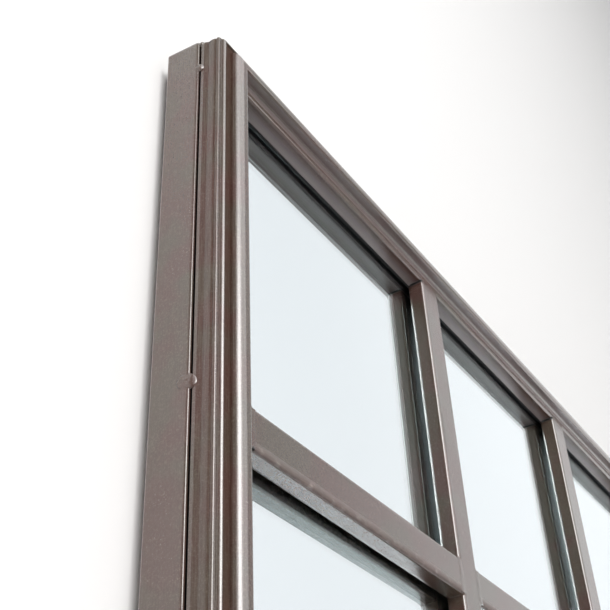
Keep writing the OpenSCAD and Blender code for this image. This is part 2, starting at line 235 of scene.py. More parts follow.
sky = sky_light((1, 1, 1), FILL)
lights = {"Glossy": sky_light(SHINE_TINT, studio), "Transmission": sky_light(MIRROR_TINT, in_mirror),
          "Camera": sky_light((1, 1, 1), 1.0)}
for ray, light in lights.items():
    is_ray = room.add("ShaderNodeLightPath", output=f"Is {ray} Ray")
    sky = room.add("ShaderNodeMixShader", {0: is_ray, 1: sky, 2: light})
sky_output = world.node_tree.nodes.new("ShaderNodeOutputWorld").inputs["Surface"]
world.node_tree.links.new(sky.socket, sky_output)


# The rear frame: four lengths of square steel tube, mitred, welded and ground, under one coat of
# satin taupe paint. Sections are drawn in millimetres, u inwards from the frame's outer face and
# d forwards from the wall.
SIDES = ["left", "top", "right", "bottom"]
PAINT = (0.083, 0.053, 0.042, 1)
PAINT_COOL, PAINT_WARM = (0.079, 0.060, 0.044, 1), (0.088, 0.046, 0.038, 1)
PAINT_PALE, PAINT_DEEP = (0.19, 0.155, 0.125, 1), (0.052, 0.024, 0.018, 1)
# The last colour here is pale paint for a painted highlight
PAINT_GROUND, PAINT_HIGHLIGHT = (0.30, 0.23, 0.20, 1), (0.27, 0.225, 0.22, 1)
# Black painted in as shade: in the slot, inside the hollow sheet and in the paint's hollows
SHADE_BLACK = (0.004, 0.003, 0.003, 1)
PAINT_IOR, PAINT_RELIEF, HOLLOW_DEPTH = 1.9, 0.05 * MM, 4.0
# Features per metre and detail of the noises in the paint, with a stretch for the ground streaks.
# The draw lines' noise has features per millimetre, and LENGTHWISE times as many along the piece
DRIFT, CLOUD, GRAIN, SPECK = (38, 3), (11, 2), (1500, 2), (820, 1)
PEEL, NIB, EDGE, STREAK = (620, 1), (2600, 0), (160, 2), (200, 3, (1, 1, 16))
DRAW_LINES, LENGTHWISE = (1.9, 3), 0.035
outer_low, outer_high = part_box("rear_tube_left")[0] / MM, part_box("rear_tube_right")[1] / MM
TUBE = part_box("rear_tube_left")[1].x / MM - outer_low.x
TUBE_R = 1.0
FRAME_W, FRAME_H = outer_high.x - outer_low.x, outer_high.z - outer_low.z
MID_Z = (outer_low.z + outer_high.z) / 2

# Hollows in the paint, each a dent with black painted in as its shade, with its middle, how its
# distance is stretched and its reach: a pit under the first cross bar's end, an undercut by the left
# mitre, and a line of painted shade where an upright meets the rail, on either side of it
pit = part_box("cross_bar_row1_1")[0] / MM + Vector((0.8, 0.5, 0.4))
undercut = Vector((outer_low.x + 2.4, -25.8, outer_high.z - 5))
shaded_hollows = [(pit * MM, (1, 1, 0.7), 1.5 * MM), (undercut * MM, (0.3, 0.5, 1.5), 0.9 * MM)]
for bar in (1, 2):
    low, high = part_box(f"vertical_bar_{bar}")
    shaded_hollows += [(Vector((edge, low.y + 6 * MM, end)), (1, 0.12, 1), 1.5 * MM)
              for edge in (low.x, high.x) for end in (low.z, high.z)]


def paint_finish(name, ground=False, rolled=False):
    """Satin paint over steel: slow drifts of hue, a fine grain, orange peel, dust nibs and hollows
    dented in the bump with black painted in as their shade. On ground pieces, metal shows in streaks
    where the layer called ground is 1, and painted shade darkens the rounded edge in patches where the
    layer called edge is 1. On rolled ones, one layer is painted shade that makes the paint deep and dull,
    one a painted highlight that makes it pale, and one black painted in as the shade of the slot and the
    hollow sheet; fine draw lines run where lined is 1, on coordinates of their own in millimetres:
    girth, round the section, and along the piece."""
    material, start, surface = new_material(name)
    place = start.add("ShaderNodeTexCoord", output="Object")
    drift, cloud, grain, speck = (place.noise(*kind) for kind in (DRIFT, CLOUD, GRAIN, SPECK))
    colour = drift.ease(0.38, 0.62).blend(PAINT_COOL, PAINT_WARM)
    colour = colour.tint(cloud.ease(0.45, 0.75) * 0.35, PAINT)
    colour = colour.tint(grain.ease(0.52, 0.72) * 0.25, PAINT_PALE)
    colour = colour.tint(grain.ease(0.48, 0.28) * 0.25, PAINT_DEEP)
    colour = colour.tint(speck.ease(0.60, 0.70) * 0.20, PAINT_PALE)
    colour = colour.tint(speck.ease(0.36, 0.26) * 0.30, PAINT_DEEP)
    height = place.noise(*PEEL) * 0.5 + place.noise(*NIB).ease(0.70, 0.80) * 0.8
    rough = 0.20 + drift * 0.05 + grain * 0.06
    if ground:
        streak = place.noise(*STREAK).ease(0.47, 0.62) * start.attribute("ground")
        colour = colour.tint(streak * 0.9, PAINT_GROUND)
        height = height + streak * 1.2
        # Painted shade: the rounded edge below the ground band is darker, in patches
        edge = start.attribute("edge") * place.noise(*EDGE).ease(0.25, 0.5)
        colour = colour.tint(edge * 0.7, PAINT_DEEP)
        rough = rough + streak * 0.1 + edge * 0.45
    # Each hollow is a dent in the bump with black painted in as its shade
    for centre, stretch, reach in shaded_hollows:
        from_centre = start.add("ShaderNodeVectorMath", {0: place, 1: centre}, operation="SUBTRACT")
        away = start.add("ShaderNodeVectorMath", {0: from_centre, 1: stretch}, operation="MULTIPLY")
        away = start.add("ShaderNodeVectorMath", {0: away}, 1, operation="LENGTH")
        hollow = away.ease(reach, reach * 0.45)
        colour = colour.tint(hollow, SHADE_BLACK)
        height = height - hollow * HOLLOW_DEPTH
        rough = rough + hollow * 0.6
    if rolled:
        recess, black_shade = start.attribute("recess"), start.attribute("black_shade")
        strip = {"X": start.attribute("girth"), "Y": start.attribute("along") * LENGTHWISE}
        lines = start.add("ShaderNodeCombineXYZ", strip).noise(*DRAW_LINES)
        colour = colour.tint(lines.ease(0.52, 0.70) * start.attribute("lined") * 0.30, PAINT_PALE)
        colour = colour.tint(lines.ease(0.48, 0.32) * start.attribute("lined") * 0.75, PAINT_DEEP)
        height = height + lines * start.attribute("lined") * 1.5
        # Painted shade deepens the colour, and a painted highlight pales it
        colour = colour.tint(recess * 0.4, PAINT_DEEP).tint(start.attribute("painted_highlight"), PAINT_HIGHLIGHT)
        # Black painted in as shade
        colour = colour.tint(black_shade, SHADE_BLACK)
    bump = start.add("ShaderNodeBump", {"Height": height, "Strength": 0.4, "Distance": PAINT_RELIEF})
    sockets = {"Base Color": colour, "Roughness": rough, "Normal": bump, "IOR": PAINT_IOR}
    shader = start.add("ShaderNodeBsdfPrincipled", sockets)
    # Where painted shade or painted black is, the paint loses its gloss and turns dull diffuse
    if rolled:
        dull = start.add("ShaderNodeBsdfDiffuse", {"Color": colour, "Normal": bump})
        shader = start.add("ShaderNodeMixShader", {0: recess + black_shade, 1: shader, 2: dull})
    material.node_tree.links.new(shader.socket, surface)
    return material


SINES, SINE_LEAN, SINE_SUM = 6, 0.08, 3.5        # how many, how much they lean, and their usual sum


def ripple(along, across, waves, seed):
    """A slow random swell between about -1 and 1: a sum of sines, each with its own wavelength
    along the piece, taken from the range in waves, its own lean across it, and its own phase."""
    draw = np.random.default_rng(seed)
    lengths, leans = draw.uniform(*waves, SINES), draw.normal(0, SINE_LEAN, SINES)
    phases = draw.uniform(0, 2 * np.pi, SINES)
    swell = np.zeros(np.broadcast(along, across).shape)
    for length, lean, phase in zip(lengths, leans, phases):
        swell += np.sin(2 * np.pi * along / length + lean * across + phase)
    return swell / SINE_SUM


def closed_faces(rows, columns):
    """The quads of a grid whose columns close on themselves, with a cap on its first and last row."""
    i, j = np.meshgrid(np.arange(rows - 1), np.arange(columns), indexing="ij")
    a, b = i * columns + j, i * columns + (j + 1) % columns
    quads = np.stack([a, b, b + columns, a + columns], -1).reshape(-1, 4).tolist()
    ring = list(range(columns))
    return quads + [ring[::-1], [(rows - 1) * columns + k for k in ring]]


def girth(section):
    """How far along its outline each point of a section lies."""
    return np.concatenate([[0.0], np.cumsum(np.hypot(*np.diff(section, axis=0).T))])


def signed_volume(points, faces):
    """Six times the volume inside a closed shell: the sum, over its triangles, of corner triple
    products. It is positive where the faces point outwards."""
    tris = np.array([(f[0], f[k], f[k + 1]) for f in faces for k in range(1, len(f) - 1)])
    a, b, c = (points[tris[:, k]] for k in range(3))
    return float(np.einsum("ij,ij->", a, np.cross(b, c)))


def build(name, shells, material, nodes, sharp=18, layers=None):
    """Joins closed shells, given in millimetres, into one piece that stands for CAD nodes. Every
    shell's faces are turned outwards, and edges over sharp degrees stay sharp."""
    points, faces, start = [], [], 0
    for shell, ring in shells:
        flat = np.asarray(shell, float).reshape(-1, 3)
        turn = signed_volume(flat, ring) < 0
        faces += [[start + k for k in (f[::-1] if turn else f)] for f in ring]
        points.append(flat)
        start += len(flat)
    mesh = bpy.data.meshes.new(name)
    mesh.from_pydata((np.concatenate(points) * MM).tolist(), [], faces)
    mesh.polygons.foreach_set("use_smooth", np.ones(len(faces), bool))
    mesh.set_sharp_from_angle(angle=np.radians(sharp))
    for layer, values in (layers or {}).items():
        made = mesh.attributes.new(layer, "FLOAT", "POINT")
        made.data.foreach_set("value", np.asarray(values, np.float32).ravel())
    mesh.materials.append(material)
    piece = bpy.data.objects.new(name, mesh)
    bpy.context.scene.collection.objects.link(piece)
    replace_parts(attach(piece, "root"), *nodes)


def lobe(centre, radius, start, end, steps):
    """An arc of a circle in (u, d) whose outward normal turns from start to end: 90 degrees looks
    out to the side, 0 forwards and -90 to the pane."""
    turn = np.radians(np.linspace(start, end, steps))[:, None]
    return np.array(centre) + radius * np.hstack([-np.sin(turn), np.cos(turn)])


def centre_at(point, radius, turn):
    """The centre of the circle through a point where its outward normal is at this angle."""
    return np.array(point) + radius * np.array([np.sin(np.radians(turn)), -np.cos(np.radians(turn))])


def guarded(section, reach=0.25, flats=1):
    """The outline with two more points on each long straight, at this reach from its ends, so that
    the arcs' smooth shading doesn't spread over the flat. What lies between them is cut into as
    many steps as flats says."""
    parts = []
    for here, there in zip(section, np.roll(section, -1, 0)):
        length = np.hypot(*(there - here))
        inner = np.linspace(reach / length, 1 - reach / length, flats + 1) if length > 4 * reach else []
        parts.append(here + np.concatenate([[0.0], inner])[:, None] * (there - here))
    return np.concatenate(parts)


def side_to_room(u, d, along, k):
    """Carries (u, d) and a height along a side, from its middle, to one of the four sides: the left
    side as it stands, turned about the frame's centre by k quarter turns."""
    half = (FRAME_W if k % 2 == 0 else FRAME_H) / 2
    cos, sin = [(1, 0), (0, 1), (-1, 0), (0, -1)][k]
    x, z = u - half, along
    return np.stack(np.broadcast_arrays(x * cos + z * sin, -d, MID_Z - x * sin + z * cos), -1)


def side_length(k):
    return FRAME_H if k % 2 == 0 else FRAME_W


SIDE_SHIFT = 3000        # between the lengthwise coordinates of two sides, so that no two look alike


def rail_layers(shell, k, section_layers):
    """The layers of one section repeated along side k, with how far along the side each point is."""
    layers = {name: np.broadcast_to(share, shell.shape[:2]) for name, share in section_layers.items()}
    layers["along"] = shell[..., 2 if k % 2 == 0 else 0] + SIDE_SHIFT * k
    return layers


END_STEPS = np.array([0, 0.25, 0.6, 1.1, 1.8, 2.7, 3.9, 5.5])        # rows close to a mitre, from it
END_GAP = 3        # from the last of them to the even rows in the middle


def mitred_rail(section, k, stations, swell, ground_corner):
    """A section carried along side k, each of its lines up to the mitre. swell moves points out
    along the section's normal. The frame's corner is ground round: about a point as far in from
    both outer faces as ground_corner says, every square turns into a circle of its half width."""
    u, d = section.T
    half = side_length(k) / 2
    start = END_STEPS[:, None] - (half - u)
    middle = np.linspace(-1, 1, stations)[:, None] * (half - u - END_STEPS[-1] - END_GAP)
    along = np.concatenate([start, middle, -start[::-1]])
    slope = np.roll(section, -1, 0) - np.roll(section, 1, 0)
    normal = np.stack([-slope[:, 1], slope[:, 0]], -1) / np.hypot(*slope.T)[:, None]
    out = swell(along, np.arange(len(section))[None, :], half - u - np.abs(along))
    p, q = u + out * normal[:, 0], half - np.abs(along)
    centre = ground_corner(d)
    in_p, in_q = np.maximum(centre - p, 0), np.maximum(centre - q, 0)
    shrink = np.maximum(in_p, in_q) / np.maximum(np.hypot(in_p, in_q), 1e-9)
    shrink = np.where((in_p > 0) & (in_q > 0), shrink, 1)
    p, q = p + in_p * (1 - shrink), q + in_q * (1 - shrink)
    shell = side_to_room(p, d + out * normal[:, 1], np.sign(along) * (half - q), k)
    return shell, closed_faces(*along.shape)


# The tube's front edge turns slowly at first, on the eased radius up to EASED_TO degrees, and then
# tightly. A little way into the slot, black is painted on the front face as the slot's shade.
EASED_R, TIGHT_R, EASED_TO = 4.0, 0.7, 62
SHADE_BEGINS, SHADE_FULL = 1.6, 1.7
edge_c = lobe((EASED_R, 0), EASED_R - TIGHT_R, EASED_TO, EASED_TO, 1)[0]
eased_d = TUBE - TIGHT_R - edge_c[1]
near_in, far_in = TUBE_R, TUBE - TUBE_R
tube_section = guarded(np.concatenate([
    lobe((near_in, near_in), TUBE_R, 180, 90, 7), lobe((EASED_R, eased_d), EASED_R, 90, EASED_TO, 6),
    lobe(edge_c + (0, eased_d), TIGHT_R, EASED_TO - 6, 0, 9), [(SHADE_BEGINS, TUBE), (SHADE_FULL, TUBE)],
    lobe((far_in, far_in), TUBE_R, 0, -90, 7), lobe((far_in, near_in), TUBE_R, -90, -180, 7)]), flats=6)
# Black painted in as the slot's shade on the tube's front face
tube_black_shade = (tube_section[:, 1] > TUBE - 0.2) & (tube_section[:, 0] > SHADE_BEGINS + 0.05)
# A painted highlight on the tube's rounded back edge
wall_edge = (tube_section[:, 0] < 0.75) & (tube_section[:, 1] < 0.9)
tube_layers = {"black_shade": tube_black_shade, "recess": 0 * tube_black_shade, "painted_highlight": 0.7 * wall_edge,
               "lined": 0.25 + 0 * tube_black_shade, "girth": girth(tube_section)}
TUBE_SWELL, TUBE_SUNK, TUBE_WAVES, TUBE_FADE, TUBE_ROWS, TUBE_SEED = 0.035, 0.055, (90, 320), 30, 90, 11
GROUND_AT_WALL, GROUND_MORE = 1, 3.3        # reach of the ground corner, and what the front adds
rolled_paint = paint_finish("satin_paint_rolled", rolled=True)
for k, side in enumerate(SIDES):
    def wave(along, across, near):
        """A slow swell of the faces, sunk below the CAD's, which dies out at the mitre."""
        slow = TUBE_SWELL * ripple(along, across, TUBE_WAVES, TUBE_SEED + k) - TUBE_SUNK
        return slow * np.clip(near / TUBE_FADE, 0, 1)
    rail = mitred_rail(tube_section, k, TUBE_ROWS, wave, lambda d: GROUND_AT_WALL + GROUND_MORE * d / TUBE)
    layers = rail_layers(rail[0], k, tube_layers)
    build(f"tube_{side}", [rail], rolled_paint, [f"rear_tube_{side}"], layers=layers)


# The front moulding: four mitred lengths of rolled sheet steel, with a strip, a splay and a bead on
# the side, two fine ridges, a valley, a round nose with a flat crown, and a ledge round the panes.
SIGHT, SHEET, LIP, INSET, DRIP = 27.0, 1.2, 5.5, 1.5, 0.5
FRONT_D = -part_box("vertical_bar_1")[1].y / MM
BAR_T, BAR_R, FILLET_R, BEND_R = 10.0, 1.8, 1.4, 0.8
RIDGE_R, STEP_R, CREST_R, NOSE_R, SHOULDER_R = 1.2, 2.8, 0.6, 5.2, 1.6
TREAD_W, VALLEY_W, CROWN_W, VALLEY_H = 1.1, 3.7, 1.9, 0.8
BOW_C, BOW_R = (7.566, 5.129), 5.417
HIGHLIGHT_TO = (22.2, 23.4)        # the painted highlight on the ledge ends between these, in from the outer face
splay = np.array([INSET + 0.9, 3.5])        # the end of the splay, above the strip
side_top = splay + (0.45, 4.3)              # where the bowed side meets the first ridge
ridge_c = centre_at(side_top, RIDGE_R, 128)
tread = lobe(ridge_c, RIDGE_R, 32, 32, 1)[0] + (TREAD_W, 0)
step_c = centre_at(tread, STEP_R, 88)
crest_c = lobe(step_c, STEP_R - CREST_R, 38, 38, 1)[0]
valley = crest_c + (CREST_R * 1.5, CREST_R - VALLEY_H)
nose_c = valley + (VALLEY_W + NOSE_R, 0)
shoulder_c = nose_c + (CROWN_W, NOSE_R - SHOULDER_R)
WALL_U = shoulder_c[0] + SHOULDER_R
moulding_section = guarded(np.concatenate([
    [(side_top[0], 0.0), (side_top[0], -DRIP), (INSET, -DRIP), (INSET, 1.1), splay],
    lobe(BOW_C, BOW_R, 103, 60.5, 10), lobe(ridge_c, RIDGE_R, 124, 32, 14), [tread],
    lobe(step_c, STEP_R, 84, 38, 9), lobe(crest_c, CREST_R, 27, -45, 6), [valley],
    lobe(nose_c, NOSE_R, 86, 0, 22), lobe(shoulder_c, SHOULDER_R, 0, -90, 14),
    lobe((WALL_U + FILLET_R, BAR_T + FILLET_R), FILLET_R, 90, 180, 10), [(u, BAR_T) for u in HIGHLIGHT_TO],
    lobe((SIGHT - BAR_R, BAR_T - BAR_R), BAR_R, 0, -90, 12),
    lobe((SIGHT - BEND_R, BEND_R), BEND_R, -90, -180, 7),
    [(SIGHT - LIP, 0), (SIGHT - LIP, SHEET), (SIGHT - SHEET, SHEET), (SIGHT - SHEET, BAR_T - SHEET),
     (WALL_U - SHEET, BAR_T - SHEET), shoulder_c + (SHOULDER_R - SHEET, 0),
     shoulder_c + (0, SHOULDER_R - SHEET)],
    lobe(nose_c, NOSE_R - SHEET, 0, 80, 6),
    [valley + (VALLEY_W + SHEET, -SHEET), tread + (SHEET, 0), side_top + (SHEET, 0),
     (side_top[0] + SHEET, 0)]]))
moulding_section[:, 1] += FRONT_D
hollow_start = int(np.argmin(np.hypot(*(moulding_section - (SIGHT - LIP, FRONT_D + SHEET)).T)))
mu, md = moulding_section[:, 0], moulding_section[:, 1] - FRONT_D
outside = np.arange(len(mu)) < hollow_start
in_valley = (mu > valley[0] - 0.2) & (mu < valley[0] + VALLEY_W + 0.4) & (md < valley[1] + 1.5)
under_tread = (mu < tread[0] + 0.1) & (md > 1.2) & (md < tread[1])
round_panes = mu > SIGHT - 0.05
nose_wall = np.abs(mu - WALL_U) < 0.05
ledge = (mu > WALL_U + 0.5) & (mu < np.mean(HIGHLIGHT_TO)) & (md > BAR_T - 0.1)
sight_edge = (mu > SIGHT - 0.6) & (md < 1.2)
# Painted light on the moulding: the deep, dull layer is painted shade in the valley, under the tread and
# round the panes; the pale layer is a painted highlight on the nose's wall, the ledge and the sight edge;
# the black layer is painted shade inside the hollow sheet and behind the drip
moulding_layers = {
    "lined": 0.8 * (md > 1), "girth": girth(moulding_section),
    "black_shade": ~outside | (md < -0.3) & (mu > INSET + 0.3),
    "recess": outside * (0.45 * round_panes + 0.95 * in_valley + 0.30 * under_tread),
    "painted_highlight": outside * (0.3 * nose_wall + 0.8 * ledge + sight_edge)}
RAIL_SWELL, RAIL_SUNK, RAIL_WAVES, RAIL_FADE, RAIL_ROWS, RAIL_SEED = 0.03, 0.045, (60, 260), 12, 150, 31
LUMP, LUMP_WAVES, LUMP_REACH, LUMP_SEED, RAIL_GROUND = 0.07, (5, 17), 45, 51, 3.0
LUMPY_U, LUMPY_REACH, LUMPY_FROM = 11.6, 1.8, 12
on_nose = np.exp(-((mu - LUMPY_U) / LUMPY_REACH) ** 2) * (md > LUMPY_FROM)
for k, side in enumerate(SIDES):
    def wave(along, across, near):
        """A slow swell of the section, and small lumps of ground weld on the nose by the mitres."""
        slow = RAIL_SWELL * ripple(along, across, RAIL_WAVES, RAIL_SEED + k) - RAIL_SUNK
        lumps = LUMP * ripple(along, 3 * across, LUMP_WAVES, LUMP_SEED + k) * on_nose
        lumps = lumps * np.exp(-(near / LUMP_REACH) ** 2)
        return (slow + lumps) * np.clip((near - 1) / RAIL_FADE, 0, 1)
    rail = mitred_rail(moulding_section, k, RAIL_ROWS, wave, lambda d: INSET + RAIL_GROUND + 0 * d)
    layers = rail_layers(rail[0], k, moulding_layers)
    build(f"front_moulding_{side}", [rail], rolled_paint, [f"moulding_{side}"], layers=layers)


# The glazing bars: rectangular steel tube, two uprights in one length and cross bars cut to fit
# between them. Their front faces lie flush with the moulding's ledge, and the lower edges are ground.
bar_paint = paint_finish("satin_paint_bars", ground=True)
REAR_R, REAR_TIGHT, REAR_TURN = 5.0, 0.5, 110        # a rear edge: slow up to the turn, then tight
BAR_W = (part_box("vertical_bar_1")[1].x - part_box("vertical_bar_1")[0].x) / MM
rear_c = lobe((REAR_R, 0), REAR_R - REAR_TIGHT, REAR_TURN, REAR_TURN, 1)[0]
rear = np.concatenate([lobe(rear_c, REAR_TIGHT, 180, REAR_TURN + 6, 8),
                       lobe((REAR_R, 0), REAR_R, REAR_TURN, 90, 6)]) - (0, rear_c[1] - REAR_TIGHT)
bar_section = guarded(np.concatenate([
    lobe((BAR_W - BAR_R, BAR_T - BAR_R), BAR_R, 0, -90, 11), rear[::-1] * (-1, 1) + (BAR_W, 0), rear,
    lobe((BAR_R, BAR_T - BAR_R), BAR_R, -270, -360, 11)]), flats=6)
BAR_STEP, BAR_SWELL, BAR_WAVES, BAR_FADE = 6, 0.02, (50, 170), 15
GROUND_BAND, GROUND_RISE = 5, 4.4        # the ground part of the front, and over how much of it it grows
ROWS, COLUMNS, UPRIGHTS = (1, 2, 3), (1, 2, 3), (1, 2)
UPRIGHT_SEED, CROSS_SEED = 70, 80


def glazing_bar(name, node, upright, seed):
    """The bar's section carried straight from end to end, with a faint swell of its faces. On a
    cross bar the layer called ground marks the lowest part of the front, and edge the rounded edge below,
    which painted shade darkens."""
    low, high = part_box(node)[0] / MM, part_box(node)[1] / MM
    start, end = (low.z, high.z) if upright else (low.x, high.x)
    along = np.linspace(start, end, int((end - start) / BAR_STEP))[:, None]
    u, d = bar_section.T
    inside = np.clip(np.minimum(along - start, end - along) / BAR_FADE, 0, 1)
    flat = (np.abs(u - BAR_W / 2) < BAR_W / 2 - BAR_R).astype(float)
    out = BAR_SWELL * ripple(along, 0.2 * u, BAR_WAVES, seed) * inside * flat
    d = np.where(d > BAR_T / 2, d + out, d - out) + FRONT_D
    across = np.broadcast_to(u, d.shape)
    along = np.broadcast_to(along, d.shape)
    if upright:
        shell, mark, dark = np.stack([low.x + across, -d, along], -1), 0 * d, 0 * d
    else:
        shell = np.stack([along, -d, high.z - across], -1)
        mark = np.clip((across - BAR_W + GROUND_BAND) / GROUND_RISE, 0, 1) * (d > FRONT_D + BAR_T - 0.7)
        # Painted shade on the cross bar's rounded lower edge
        dark = (across > BAR_W - BAR_R - 0.3) * (d > FRONT_D + BAR_T - BAR_R * 0.45)
    layers = {"ground": mark, "edge": dark}
    build(name, [(shell, closed_faces(*d.shape))], bar_paint, [node], layers=layers)


for c in UPRIGHTS:
    glazing_bar(f"upright_{c}", f"vertical_bar_{c}", True, UPRIGHT_SEED + c)
for r in ROWS:
    for c in COLUMNS:
        glazing_bar(f"cross_{r}_{c}", f"cross_bar_row{r}_{c}", False, CROSS_SEED + 3 * r + c)


# The slot welds: beads of weld metal that bridge the slot between the rear tube and the moulding,
# laid by hand and painted over, each a little different, and a plug that closes the slot in each
# corner. Along the edge of the tube lie a few small grains of spatter.
SLOT = FRONT_D - TUBE
WELD_FIRST, WELD_SECOND = 22.0, 208.0        # from the frame's corner to the middle of a bead
PROUDEST = 0.68                              # how far a bead stands out past the tube's face at most
RIM_SWELL, RIM_WAVES, RIM_DIP, FOOT = 0.07, (25, 90), 0.35, 1.2
SHAPE_SEED, RIM_SEED = 400, 500
# How far in the surface lies that the beads are laid on, from the tube over the slot to the splay
GROUND_D, GROUND_U = [-EASED_R, 0, SLOT, SLOT + 1, SLOT + 3.5], [0.15, 0.9, 1.1, INSET, INSET + 0.9]


def bead(k, at, half_a, f0, half_f, crown, lumps, seed):
    """A low dome over the slot on side k, on polar rings: its height is crown times 1 - ring
    squared, to the power 0.7, plus round lumps that fall off as a Gaussian, each with a place
    (along, forwards), a radius and a height. The rim dips under the paint."""
    ring, turn = np.linspace(0, 1, 19)[1:, None], np.linspace(0, 2 * np.pi, 49)[:-1]
    reach = 1 + RIM_SWELL * ripple(np.degrees(turn) / 3, 0 * turn, RIM_WAVES, seed)
    a = ring * reach * half_a * np.sin(turn)
    f = f0 + ring * reach * half_f * np.cos(turn)
    height = crown * (1 - ring ** 2) ** 0.7 + 0 * a
    for la, lf, r, h in lumps:
        height = height + h * np.exp(-((a - la) ** 2 + (f - lf) ** 2) / r ** 2) * (1 - ring ** 4)
    base = np.interp(f, GROUND_D, GROUND_U)
    u = base - height + RIM_DIP * (ring > 0.99)
    u = np.where(u < 0, -PROUDEST * np.tanh(-u / PROUDEST), u)
    shell = side_to_room(u, TUBE + f, at + a, k)
    top = side_to_room(np.array([u[0].mean()]), TUBE + f0, at, k)
    foot = side_to_room(np.array([base.mean() + FOOT]), TUBE + f0, at, k)
    points = np.concatenate([shell.reshape(-1, 3), top.reshape(-1, 3), foot.reshape(-1, 3)])
    rows, columns = a.shape
    faces = closed_faces(rows, columns)[:-2]
    last, apex, under = (rows - 1) * columns, rows * columns, rows * columns + 1
    faces += [[apex, (j + 1) % columns, j] for j in range(columns)]
    faces += [[under, last + j, last + (j + 1) % columns] for j in range(columns)]
    return points, faces


def grain(k, centre, radii):
    """An ellipsoid about (u, d, along) on side k, with these half axes, from pole to pole."""
    tilt, turn = np.radians(np.linspace(6, 174, 11))[:, None], np.linspace(0, 2 * np.pi, 17)[:-1]
    u = centre[0] + radii[0] * np.sin(tilt) * np.cos(turn)
    d = centre[1] + radii[1] * np.sin(tilt) * np.sin(turn)
    along = centre[2] + radii[2] * np.cos(tilt) + 0 * turn
    return side_to_room(u, d, along, k), closed_faces(*u.shape)


PLUG_IN, PLUG_RADII = 3.2, (2.2, 1.5, 2.2)
SPATTER = ((26.7, 0.55), (28.7, 0.5), (30.6, 0.6), (33.5, 0.35))        # down from the corner, and radius
# Half height, middle and half depth of a bead, its crown, and the lumps on it
SMALL_BEAD = (2.6, 0.4, 2.5, 0.85, [(0.3, -1.0, 0.9, 0.15), (-0.3, 1.2, 1.0, 0.15)])
LARGE_BEAD = (4.0, -1.6, 4.7, 0.85, [(1.7, -4.0, 1.0, 0.55), (-0.2, -5.0, 0.9, 0.6), (-1.9, -4.0, 1.0, 0.45),
                                     (0.3, -1.6, 0.9, 0.4), (-1.2, 0.2, 1.0, 0.2), (1.1, 0.6, 1.2, 0.15)])
# The same for the beads that the photograph doesn't show, which are drawn from these ranges
HALF_HEIGHTS, MIDDLES, HALF_DEPTHS, CROWN = (2.4, 3.1), (-1.2, 0), (3.2, 4.2), 0.75
LUMP_RADII, LUMP_HEIGHTS, LUMP_DEPTHS = (0.8, 1.3), (0.1, 0.35), (-2.5, -0.5, 1.5)
beads = []
for k in range(4):
    half = side_length(k) / 2
    stations = [half - WELD_FIRST, half - WELD_SECOND, WELD_FIRST - half, WELD_SECOND - half]
    for i, at in enumerate(stations + [0.0] * (k % 2 == 0)):
        draw = np.random.default_rng(SHAPE_SEED + 10 * k + i)
        lumps = [(draw.normal(0, 0.8), f + draw.normal(0, 0.3), draw.uniform(*LUMP_RADII),
                  draw.uniform(*LUMP_HEIGHTS)) for f in LUMP_DEPTHS]
        shape = (*(draw.uniform(*kind) for kind in (HALF_HEIGHTS, MIDDLES, HALF_DEPTHS)), CROWN, lumps)
        shape = {(0, 0): SMALL_BEAD, (0, 1): LARGE_BEAD}.get((k, i), shape)
        beads.append(bead(k, at, *shape, RIM_SEED + 10 * k + i))
    beads.append(grain(k, (PLUG_IN, TUBE + SLOT / 2, half - PLUG_IN), PLUG_RADII))
for down, size in SPATTER:
    beads.append(grain(0, (0.75, TUBE - 0.3, FRAME_H / 2 - down), (size, size, size)))
plain_paint = paint_finish("satin_paint")
build("slot_weld_beads", beads, plain_paint, ["slot_welds"], sharp=70)


# The bar welds: at each end of a bar a butt weld over the edge of what carries it, ground flush
# with the front, and in the two inner corners a small fillet with the bars' own rounded edge.
PROUD, BUTT_CROWN, HAIR = 0.02, 0.03, 0.004


def joint_to_room(p, q, d, x, z, away):
    """Carries p, away from the carrier along the bar, and q, across the bar, to a joint at (x, z)."""
    ax, az = away
    return np.stack(np.broadcast_arrays(x + p * ax - q * az, -(FRONT_D + d), z + p * az + q * ax), -1)


def corner_fillet(side, radius, joint):
    """A ring sector about a point in the open pane: a loop of (r, d), up the wall, over a quarter
    circle and out past the corner, at the root of two times its radius, turned through 90 degrees."""
    bend = np.linspace(0, np.pi / 2, 8)
    rise = [(radius + BAR_R * (1 - np.cos(t)), BAR_T - BAR_R + (BAR_R + PROUD) * np.sin(t)) for t in bend]
    far = 1.42 * (radius + BAR_R) + 0.3
    loop = np.array([(radius, BAR_R), (radius, BAR_T / 2)] + rise + [(far, BAR_T + PROUD), (far, BAR_R)])
    turn = np.linspace(0, np.pi / 2, 11)[:, None]
    r, d = loop.T
    p = radius - r * np.cos(turn)
    q = side * (BAR_W / 2 + radius - r * np.sin(turn))
    return joint_to_room(p, q, np.broadcast_to(d, p.shape), *joint), closed_faces(*p.shape)


def butt_strip(joint, seed):
    """A low dome across the joint, its height a squared cosine over its width, with a faint swell."""
    reach = BAR_W / 2 - BAR_R * 0.4
    q = np.linspace(-reach, reach, 19)[:, None]
    share = np.linspace(-1, 1, 13)
    uneven = 1 + 0.8 * ripple(q * 6, 9 * share, (30, 90), seed)
    crown = PROUD + BUTT_CROWN * np.cos(share * np.pi / 2) ** 2 * uneven
    p = (BAR_R + 0.5) * share + 0.3 * ripple(q * 8, 0 * share, (30, 110), seed + 1)
    top = BAR_T - HAIR + np.where(np.abs(share) > 0.99, -HAIR, crown)
    foot = np.full_like(top, BAR_T - BAR_R - 0.2)
    p, d = np.concatenate([p, p[:, ::-1]], 1), np.concatenate([top, foot], 1)
    return joint_to_room(p, np.broadcast_to(q, p.shape), d, *joint), closed_faces(*p.shape)


